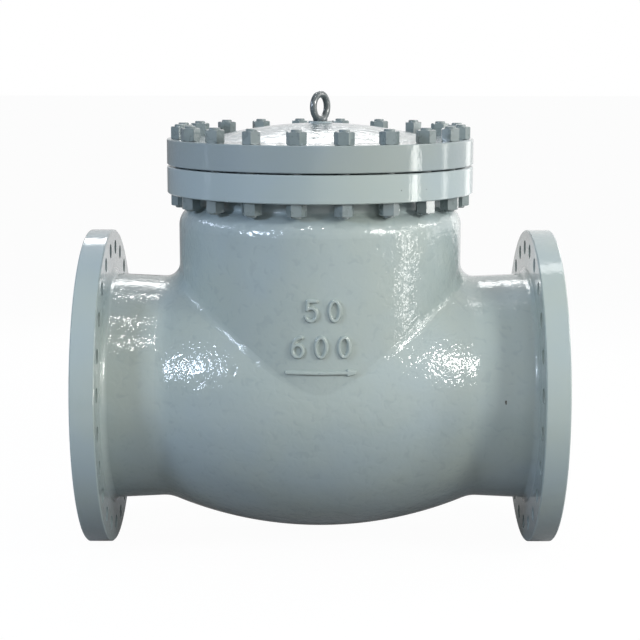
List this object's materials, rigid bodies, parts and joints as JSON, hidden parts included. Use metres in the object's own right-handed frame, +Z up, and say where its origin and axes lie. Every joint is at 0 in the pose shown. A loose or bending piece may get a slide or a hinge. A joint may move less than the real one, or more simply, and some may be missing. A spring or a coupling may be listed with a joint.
{
  "type": "swing check valve",
  "caption": "Large cast-steel swing check valve with raised-face flanged ends, a domed bolted bonnet with a lifting eye, and a disc on a hinged arm inside.",
  "frame": {"origin": "centre of the inlet flange's raised face, on the flow's axis", "axes": "+X along the flow, from inlet to outlet; +Z up towards the bonnet; +Y across, along the hinge pin"},
  "size_m": [1.346, 0.915, 1.3177],
  "materials": {
    "painted_casting": "glossy grey-green enamel over a rough casting, smooth where machined",
    "painted_fastener": "the same enamel, brushed over nuts and stud ends",
    "painted_eye": "darker grey, semi-matt",
    "gasket": "dark fibre sheet",
    "machined_steel": "machined steel",
    "bare_casting": "bare cast steel, dull",
    "bronze": "turned bronze"
  },
  "bodies": {
    "valve": {"body": "painted_casting", "bonnet": "painted_casting", "bonnet_gasket": "gasket", "bonnet_studs": "painted_fastener", "bonnet_nuts_upper": "painted_fastener", "bonnet_nuts_lower": "painted_fastener", "eye_bolt": "painted_eye", "seat_ring": "machined_steel", "hinge_bracket": "bare_casting", "bracket_screws": "machined_steel", "bracket_lock_washers": "machined_steel", "hinge_pin": "machined_steel", "pin_washers": "machined_steel", "pin_split_pins": "machined_steel"},
    "arm": {"hinge_arm": "bare_casting", "arm_bushes": "bronze"},
    "flap": {"disc": "bare_casting", "disc_washer": "machined_steel", "disc_nut": "machined_steel", "disc_nut_pin": "machined_steel"}
  },
  "joints": [
    {"name": "arm_swing", "type": "hinge", "parent": "valve", "child": "arm", "pos_m": [0.43673, 0, 0.4152], "axis": [0, -1, 0], "range_deg": [0, 58]},
    {"name": "disc_spin", "type": "hinge", "parent": "arm", "child": "flap", "pos_m": [0.41785, 0, 0], "axis": [0.9962, 0, 0.0872], "continuous": true}
  ]
}
